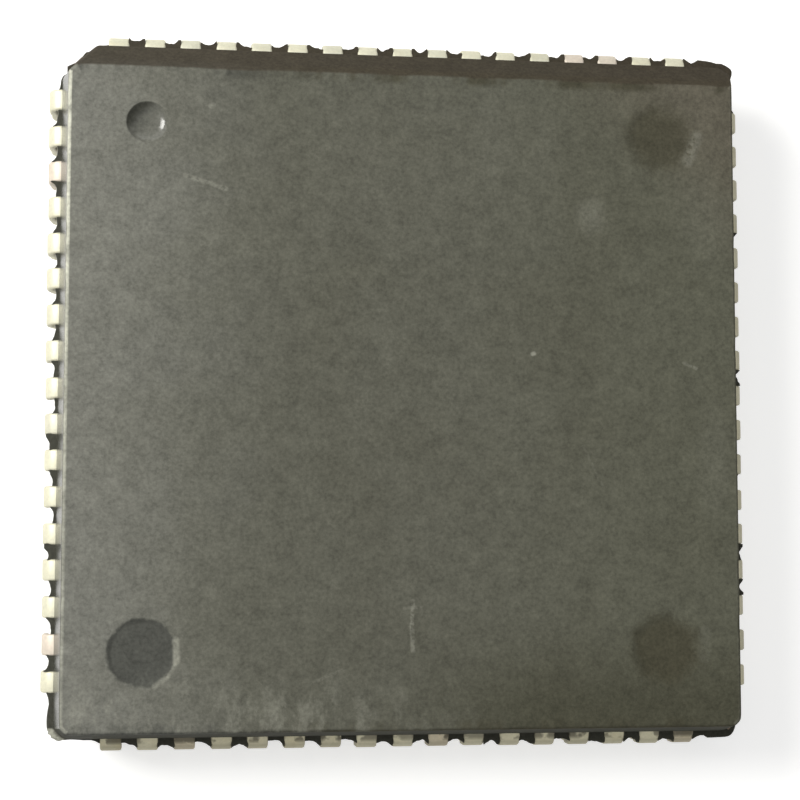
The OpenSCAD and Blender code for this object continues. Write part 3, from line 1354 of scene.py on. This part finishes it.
@dataclass(frozen=True)
class ResinFinish:
    """Dark filled epoxy under a film of pale dust, scuffed and rubbed at its edges, with painted
    light and shade: paler to the left, darker walls, painted highlights and reflections at the edges,
    and painted shade in the dimple.
    """

    marks: tuple[Mark, ...]
    name: str = "dusty_mould_resin"
    specular: float = 0.08
    roughness: float = 0.78
    relief: float = 0.35
    top: float = 4.42
    bevel_from: float = 11.0
    bare_left: Colour = (0.080, 0.082, 0.072)
    bare_right: Colour = (0.064, 0.060, 0.039)
    # Darker bare resin of the walls, also used for the dimple's painted shade.
    wall: Colour = (0.052, 0.052, 0.041)
    haze_and_left_light: Colour = (0.226, 0.227, 0.200)
    film_middle: Colour = (0.122, 0.122, 0.097)
    film_right: Colour = (0.116, 0.117, 0.087)
    film_low_and_shade: Colour = (0.068, 0.067, 0.045)
    film_warm: Colour = (0.140, 0.122, 0.094)
    brown: Colour = (0.056, 0.045, 0.031)
    pale: Colour = (0.60, 0.60, 0.50)
    scuffed: Colour = (0.36, 0.36, 0.30)
    dimple_shade: float = 0.75
    dimple_polish: float = 0.4
    dimple_inside: float = 0.88
    coat_roughness: float = 0.14
    grain_depth: float = 0.02
    streak_strength: float = 0.32
    scuffs: tuple[Scuff, ...] = (
        Scuff((-7.8, 7.28), (-6.4, 6.84), 0.13, 0.3, 0.5),
        Scuff((0.15, -7.4), (0.1, -8.3), 0.1, 0.34, 0.55),
        Scuff((0.1, -8.2), (0.14, -9.1), 0.12, 0.36, 0.5),
        Scuff((-0.16, -7.66), (0.42, -7.6), 0.1, 0.14, 0.5),
        # The next three draw a pale broken arc along the right and lower rim of the lower-left
        # ejector mark.
        Scuff((-7.98, -8.72), (-7.95, -9.41), 0.16, 0.6, 0.25),
        Scuff((-7.99, -9.53), (-8.22, -9.92), 0.11, 0.35, 0.45),
        Scuff((-8.27, -9.96), (-8.67, -10.23), 0.15, 0.3, 0.5),
        Scuff((9.9, 0.98), (10.35, 0.8), 0.1, 0.25),
        Scuff((10.5, 9.2), (10.15, 8.3), 0.32, 0.24, 0.5),
        Scuff((10.55, -8.5), (10.5, -9.4), 0.3, 0.08, 0.5),
        Scuff((4.41, 1.23), (4.46, 1.25), 0.09, 0.7, 0.1),
        Scuff((-6.95, 9.74), (-6.87, 9.77), 0.12, 0.3, 0.1),
        Scuff((6.2, -2.0), (6.9, -3.4), 0.08, 0.1),
        Scuff((-3.4, -10.2), (-2.2, -9.7), 0.1, 0.14),
    )
    smudges: tuple[Smudge, ...] = (
        Smudge((6.55, 6.2), 0.45, (1.0, 0.8), 0.17),
        Smudge((3.0, 8.9), 0.9, (1.5, 0.75), 0.05),
        Smudge((4.9, 8.6), 0.8, (1.7, 0.7), 0.04),
        Smudge((-8.9, 5.6), 1.6, (0.6, 1.2), 0.05),
        Smudge((11.0, -2.4), 1.3, (2.6, 0.8), 0.08),
        Smudge((10.7, 6.2), 1.3, (1.4, 0.9), 0.07),
    )

    def material(self, effects: Effects) -> bpy.types.Material:
        """Builds the material.

        Args:
            effects: the shared effects.

        Returns:
            The material.
        """
        s = Surface(self.name, effects)
        g = s.graph
        x, y, z = g.axes(s.point)
        on_top = g.span(z, self.top - 0.2, self.top - 0.1)
        grain = s.use(effects.grain, Scale=8.0, Contrast=1.5)
        cloud = s.patches(0.22, 0.3, 0.7)
        clean, shiny, dimple_shade_mask = self.clean_marks(s)
        kept = g.times(s.value("film"), g.minus(1.0, g.times(clean, on_top)))
        kept = g.times(kept, g.plus(0.84, g.times(cloud, 0.24)), clamp=True)
        # The film is paler at the left and darker to the right and towards the lower right: partly
        # uneven dust, partly painted light falling from the upper left.
        leftward = g.span(g.plus(x, g.times(cloud, 2.0)), -14.0, -2.5)
        dust = g.blend(leftward, self.haze_and_left_light, self.film_middle)
        dust = g.blend(g.span(x, -1.0, 11.0), dust, self.film_right)
        corner = g.times(g.span(y, -7.5, -11.5), g.span(x, -3.0, 5.0))
        dust = g.blend(g.times(corner, 0.8), dust, self.film_low_and_shade)
        dust = g.blend(g.span(g.plus(x, y), 15.0, 21.5, 0.0, 0.6), dust, self.film_warm)
        # Bare resin is painted lighter at the left and darker to the right: partly a change of tone,
        # partly painted light from the left.
        bare = g.blend(g.span(x, -8.0, -2.0), self.bare_left, self.bare_right)
        # Painted shade: bare resin goes darker down the walls below the top edge.
        bare = g.blend(g.span(z, self.top - 0.15, self.top - 0.35), bare, self.wall)
        bevel = g.span(y, self.bevel_from, self.bevel_from + 0.08, 0.0, 0.8)
        colour = g.blend(kept, g.blend(bevel, bare, self.brown), dust)
        for mask, share in self.wear(s, y, x):
            colour = g.blend(g.times(g.times(mask, on_top), share), colour, self.scuffed)
        # Painted shade: the upper-left half of the dimple is darkened to the wall colour.
        colour = g.blend(g.times(g.times(dimple_shade_mask, on_top), self.dimple_shade), colour, self.wall)
        # Pale edges: partly rub, partly a painted highlight along the top edge and painted
        # reflections of the leads on the walls.
        rub_and_painted_light = g.plus(0.5, g.times(s.patches(1.7, 0.22, 0.5), 0.6))
        colour = g.blend(g.times(s.value("edge"), rub_and_painted_light, clamp=True), colour, self.pale)
        mottle = g.plus(0.95, g.times(s.patches(1.2, 0.3, 0.7), 0.1))
        polished = g.times(shiny, on_top)
        dull = g.plus(self.roughness, g.times(kept, 0.1))
        s.set(
            Base_Color=g.scaled(colour, g.times(grain["Tone"], mottle)),
            Roughness=g.minus(dull, g.times(polished, self.dimple_polish)),
            Specular_IOR_Level=self.specular,
            Coat_Weight=polished, Coat_Roughness=self.coat_roughness,
        )
        s.bump(grain["Height"], self.grain_depth, self.relief)
        return s.material

    def clean_marks(self, s: Surface) -> tuple[Socket, Socket, Socket]:
        """Finds the marks that hold less dust, the dimple's polished half and its painted shade.

        Args:
            s: the material under construction.

        Returns:
            Masks of the clean marks, of the dimple's shiny half and of the painted shade in its other
            half.
        """
        g = s.graph
        clean: Socket | float = 0.0
        shiny: Socket | float = 0.0
        dimple_shade_mask: Socket | float = 0.0
        for mark in self.marks:
            spot = {"group": s.effects.spot, "Centre": (mark.x, mark.y, self.top)}
            ragged = 0.36 if mark.softness < 0.2 else 0.7
            if mark.kind is MarkKind.DIMPLE:
                inner = mark.radius * self.dimple_inside
                inside = s.use(**spot, Radius=inner, Softness=mark.softness, Ragged=ragged)["Mask"]
                whole = s.use(**spot, Radius=mark.radius, Softness=0.06, Ragged=0.04)["Mask"]
                x, y, _ = g.axes(s.point)
                lower_right = g.minus(g.minus(x, mark.x), g.minus(y, mark.y))
                shiny = g.times(inside, g.span(lower_right, -0.1, 0.4))
                dimple_shade_mask = g.times(g.span(lower_right, -0.25, -0.75), whole)
            else:
                whole = s.use(
                    **spot, Radius=mark.radius, Softness=mark.softness, Ragged=ragged
                )["Mask"]
                clean = g.most(clean, g.times(whole, mark.clean))
        return clean, shiny, dimple_shade_mask

    def wear(self, s: Surface, y: Socket, x: Socket) -> list[tuple[Socket, float]]:
        """Collects scuffs, smudges and the streaks along the lower edge.

        Args:
            s: the material under construction.
            y, x: the point's place on the top face.

        Returns:
            Each mask with its strength.
        """
        g = s.graph
        made: list[tuple[Socket, float]] = []
        for scuff in self.scuffs:
            line = s.use(
                s.effects.scuff, Start=(*scuff.start, self.top), End=(*scuff.end, self.top),
                Width=scuff.width, Ragged=scuff.ragged,
            )["Mask"]
            made.append((line, scuff.strength))
        for smudge in self.smudges:
            spot = s.use(
                s.effects.spot, Centre=(*smudge.centre, self.top), Shape=(*smudge.shape, 1.0),
                Radius=smudge.radius, Softness=smudge.radius * 1.6, Ragged=smudge.radius,
            )["Mask"]
            made.append((spot, smudge.strength))
        streak = g.noise(g.stretched(s.point, (1.9, 0.8, 1.0)), 1.0, 5.0, 0.65)
        low = g.times(g.span(y, -9.4, -11.4), g.span(x, 4.0, -5.0))
        made.append((g.times(g.span(streak, 0.42, 0.66), low), self.streak_strength))
        return made


@dataclass(frozen=True)
class MetalFinish:
    """A metal or cured paste of the lead frame, with its own tint, grain and tarnish, and on the
    leads painted shade.
    """

    name: str
    tint: Colour
    second: Colour
    tarnish_and_shade_colour: Colour
    metallic: float
    roughness: float
    grain_scale: float
    contrast: float
    tarnish_share: float
    per_lead: bool = False
    warm: Colour = (0.70, 0.62, 0.52)
    stretch: tuple[float, float, float] = (1.0, 1.0, 1.0)
    # Dark colour of oxide on cut ends, and on the leads of painted shade and bled resin.
    oxide_and_shade: Colour = (0.085, 0.066, 0.048)
    oxide_from: float = 0.0
    grain_depth: float = 0.008
    relief: float = 0.3

    def material(self, effects: Effects) -> bpy.types.Material:
        """Builds the material.

        Args:
            effects: the shared effects.

        Returns:
            The material.
        """
        s = Surface(self.name, effects)
        g = s.graph
        drawn = g.stretched(s.point, self.stretch)
        grain = s.use(effects.grain, Point=drawn, Scale=self.grain_scale, Contrast=self.contrast)
        dulled = g.times(s.patches(1.1, 0.52, 0.75), self.tarnish_share)
        if self.per_lead:
            tone = s.value("tone")
            # Adds each lead's painted shade, the point value dull, to the tarnish patches.
            dulled = g.plus(g.times(dulled, 0.5), s.value("dull"), clamp=True)
            colour = g.blend(g.span(tone, 0.5, 0.8), self.tint, self.second)
            colour = g.blend(g.span(tone, 0.86, 0.93), colour, self.warm)
        else:
            colour = g.blend(s.patches(0.5, 0.3, 0.7), self.tint, self.second)
        colour = g.blend(dulled, colour, self.tarnish_and_shade_colour)
        if self.per_lead:
            colour = g.blend(self.bend_shade_and_bleed(s), colour, self.oxide_and_shade)
        if self.oxide_from > 0:
            x, y, _ = g.axes(s.point)
            reach = g.plus(g.math("ABSOLUTE", x), g.math("ABSOLUTE", y))
            cut_end = g.span(reach, self.oxide_from - 0.1, self.oxide_from)
            colour = g.blend(cut_end, colour, self.oxide_and_shade)
        rough = g.plus(self.roughness - 0.08, g.times(grain["Height"], 0.16))
        rough = g.plus(rough, g.times(dulled, 0.12))
        s.set(Base_Color=g.scaled(colour, grain["Tone"]), Metallic=self.metallic, Roughness=rough)
        s.bump(grain["Height"], self.grain_depth, self.relief)
        return s.material

    @staticmethod
    def bend_shade_and_bleed(s: Surface) -> Socket:
        """Finds the painted shade round the bend of the darkened leads, and the resin that bled over
        them.

        Args:
            s: the material under construction.

        Returns:
            The mask of the painted shade and the bled resin.
        """
        g = s.graph
        x, y, z = g.axes(s.point)
        # Painted shade: a dark band round the bend where the lead turns down.
        painted_bend_shade = g.times(g.span(z, 2.91, 2.8), g.span(z, 1.7, 2.5))
        reach = g.most(g.math("ABSOLUTE", x), g.math("ABSOLUTE", y))
        bled = g.times(g.span(g.noise(s.point, 1.6, 3.0), 0.47, 0.56), g.span(reach, 12.42, 12.2))
        shade_and_bleed = g.most(g.times(painted_bend_shade, 0.45), bled)
        return g.times(shade_and_bleed, g.times(s.value("dull"), 1.5), clamp=True)


TIN = MetalFinish(
    "matte_tin_plate", (0.72, 0.70, 0.54), (0.67, 0.66, 0.52), (0.56, 0.50, 0.31),
    0.3, 0.5, 9.0, 0.5, 0.5, True, oxide_and_shade=(0.075, 0.066, 0.040),
)
INNER_FINISHES = {
    "die_pad": ("copper_alloy", MetalFinish(
        "rolled_copper_alloy", (0.72, 0.43, 0.29), (0.68, 0.40, 0.26), (0.42, 0.24, 0.16),
        1.0, 0.36, 6.0, 0.3, 0.5, stretch=(1.0, 0.15, 1.0), oxide_from=23.0,
    )),
    "die_attach": ("silver_adhesive", MetalFinish(
        "silver_filled_adhesive", (0.62, 0.62, 0.60), (0.56, 0.56, 0.54), (0.45, 0.44, 0.42),
        0.35, 0.6, 12.0, 0.5, 0.4,
    )),
    "silicon_die": ("silicon", MetalFinish(
        "polished_silicon", (0.30, 0.32, 0.36), (0.27, 0.29, 0.34), (0.22, 0.23, 0.27),
        0.85, 0.2, 3.0, 0.12, 0.3,
    )),
    "bond_wires": ("gold_wire", MetalFinish(
        "drawn_gold", (0.90, 0.68, 0.28), (0.86, 0.63, 0.25), (0.70, 0.50, 0.20),
        1.0, 0.26, 20.0, 0.15, 0.3,
    )),
}


class InnerPieces:
    """Die pad, adhesive, die and wires, which keep their solids and get their finishes."""

    def dress(self, effects: Effects) -> None:
        """Gives each inner solid its material.

        Args:
            effects: the shared effects.
        """
        for node, (slot, finish) in INNER_FINISHES.items():
            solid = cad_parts[node]
            solid.data.materials.clear()
            solid.data.materials.append(finish.material(effects))
            log.info("%s: solid kept, finish %s for slot %s", node, finish.name, slot)


@dataclass(frozen=True)
class Softbox:
    """A square soft lamp that looks at the carrier, in millimetres and watts."""

    name: str
    place: tuple[float, float, float]
    size: float
    power: float
    tint: Colour

    def hang(self) -> None:
        """Adds the lamp to the scene."""
        light = bpy.data.lights.new(self.name, "AREA")
        light.size = self.size * MM
        light.energy = self.power
        light.color = self.tint
        lamp = bpy.data.objects.new(self.name, light)
        lamp.location = Vector(self.place) * MM
        lamp.rotation_euler = (-lamp.location).to_track_quat("-Z", "Y").to_euler()
        bpy.context.scene.collection.objects.link(lamp)


@dataclass
class Studio:
    """Pale floor, soft lamps and the camera over the carrier."""

    eye: tuple[float, float, float] = (-8.862, -5.756, 67.157)
    right: tuple[float, float, float] = (0.990833, -0.000308, 0.135091)
    up: tuple[float, float, float] = (-0.010984, 0.996503, 0.082830)
    lens: float = 82.146
    floor_half: float = 900.0
    floor_tint: Colour = (0.80, 0.80, 0.79)
    floor_lift: float = 0.55
    lift_from: float = 18.0
    lift_to: float = 70.0
    ambient: float = 0.22
    softboxes: tuple[Softbox, ...] = (
        Softbox("left_softbox", (-85.0, 42.0, 95.0), 50.0, 0.145, (1.0, 0.985, 0.95)),
        Softbox("overhead_softbox", (-10.0, 10.0, 190.0), 140.0, 0.065, (1.0, 1.0, 0.99)),
        Softbox("right_fill", (140.0, -90.0, 110.0), 120.0, 0.008, (0.97, 0.98, 1.0)),
    )

    def floor(self) -> None:
        """Makes the floor: white far off, dim enough near by to hold a shadow, clear from beneath."""
        draft = MeshDraft()
        h = self.floor_half
        draft.face(*(draft.point(x, y, 0.0) for x, y in ((-h, -h), (h, -h), (h, h), (-h, h))))
        floor = draft.to_object("studio_floor")
        made = bpy.data.materials.new("pale_floor")
        made.use_nodes = True
        g = Graph(made.node_tree)
        made.node_tree.nodes.clear()
        away = g.vector("LENGTH", g.add("ShaderNodeTexCoord").outputs["Object"]).outputs["Value"]
        raised = g.span(away, self.lift_from * MM, self.lift_to * MM, self.floor_lift, 1.0)
        matte = g.add("ShaderNodeBsdfDiffuse", Color=(*self.floor_tint, 1.0))
        lift = g.add("ShaderNodeEmission", Strength=g.times(self.seen(g), raised))
        both = g.add("ShaderNodeAddShader")
        g.plug(both.inputs[0], matte.outputs[0])
        g.plug(both.inputs[1], lift.outputs[0])
        shown = g.add("ShaderNodeMixShader")
        g.plug(shown.inputs[0], g.add("ShaderNodeNewGeometry").outputs["Backfacing"])
        g.plug(shown.inputs[1], both.outputs[0])
        g.plug(shown.inputs[2], g.add("ShaderNodeBsdfTransparent").outputs[0])
        g.plug(g.add("ShaderNodeOutputMaterial").inputs["Surface"], shown.outputs[0])
        floor.data.materials.append(made)

    @staticmethod
    def seen(g: Graph) -> Socket:
        """Finds the rays that show a background: camera, glossy and transmission rays.

        Args:
            g: the graph that the mask is for.

        Returns:
            The mask.
        """
        rays = g.add("ShaderNodeLightPath").outputs
        first = g.most(rays["Is Camera Ray"], rays["Is Glossy Ray"])
        return g.most(first, rays["Is Transmission Ray"])

    def world(self) -> None:
        """Makes the surroundings: white to look at, and an even dim light."""
        world = bpy.data.worlds.new("studio")
        bpy.context.scene.world = world
        world.use_nodes = True
        g = Graph(world.node_tree)
        back = world.node_tree.nodes["Background"]
        back.inputs["Color"].default_value = (1.0, 1.0, 1.0, 1.0)
        g.plug(back.inputs["Strength"], g.span(self.seen(g), 0.0, 1.0, self.ambient, 1.0))

    def camera(self) -> None:
        """Sets the camera over the carrier, a little to the left of its middle."""
        data = bpy.data.cameras.new("camera")
        data.lens = self.lens
        data.sensor_width = 36.0
        data.clip_start = 0.001
        camera = bpy.data.objects.new("camera", data)
        right, up = Vector(self.right), Vector(self.up)
        turn = Matrix((right, up, right.cross(up))).transposed().to_4x4()
        camera.matrix_world = Matrix.Translation(Vector(self.eye) * MM) @ turn
        bpy.context.scene.collection.objects.link(camera)
        bpy.context.scene.camera = camera

    def build(self) -> None:
        """Sets up the floor, the surroundings, the lamps and the camera."""
        self.floor()
        self.world()
        for softbox in self.softboxes:
            softbox.hang()
        self.camera()
        bpy.context.scene.view_settings.view_transform = "Standard"


def main() -> None:
    """Builds and dresses every piece in order, then sets up the studio."""
    logging.basicConfig(level=logging.INFO, format="%(name)s: %(message)s")
    effects = Effects()
    body = MouldedBody()
    marks = tuple(body.top_marks)
    dusty = ResinFinish(marks).material(effects)
    satin = ResinFinish(
        marks, "satin_mould_resin", specular=0.38, roughness=0.24, relief=0.12
    ).material(effects)
    body.dress(body.build(), dusty, satin)
    tin = TIN.material(effects)
    # The south and east rows are darkened as painted shade on the sides away from the lamp.
    for side, dulled in ((Side.EAST, 0.4), (Side.NORTH, 0.0), (Side.WEST, 0.0), (Side.SOUTH, 0.5)):
        row = LeadRow(side, dulled)
        row.dress(row.build(tin))
    InnerPieces().dress(effects)
    Studio().build()


if __name__ == "__main__":
    main()
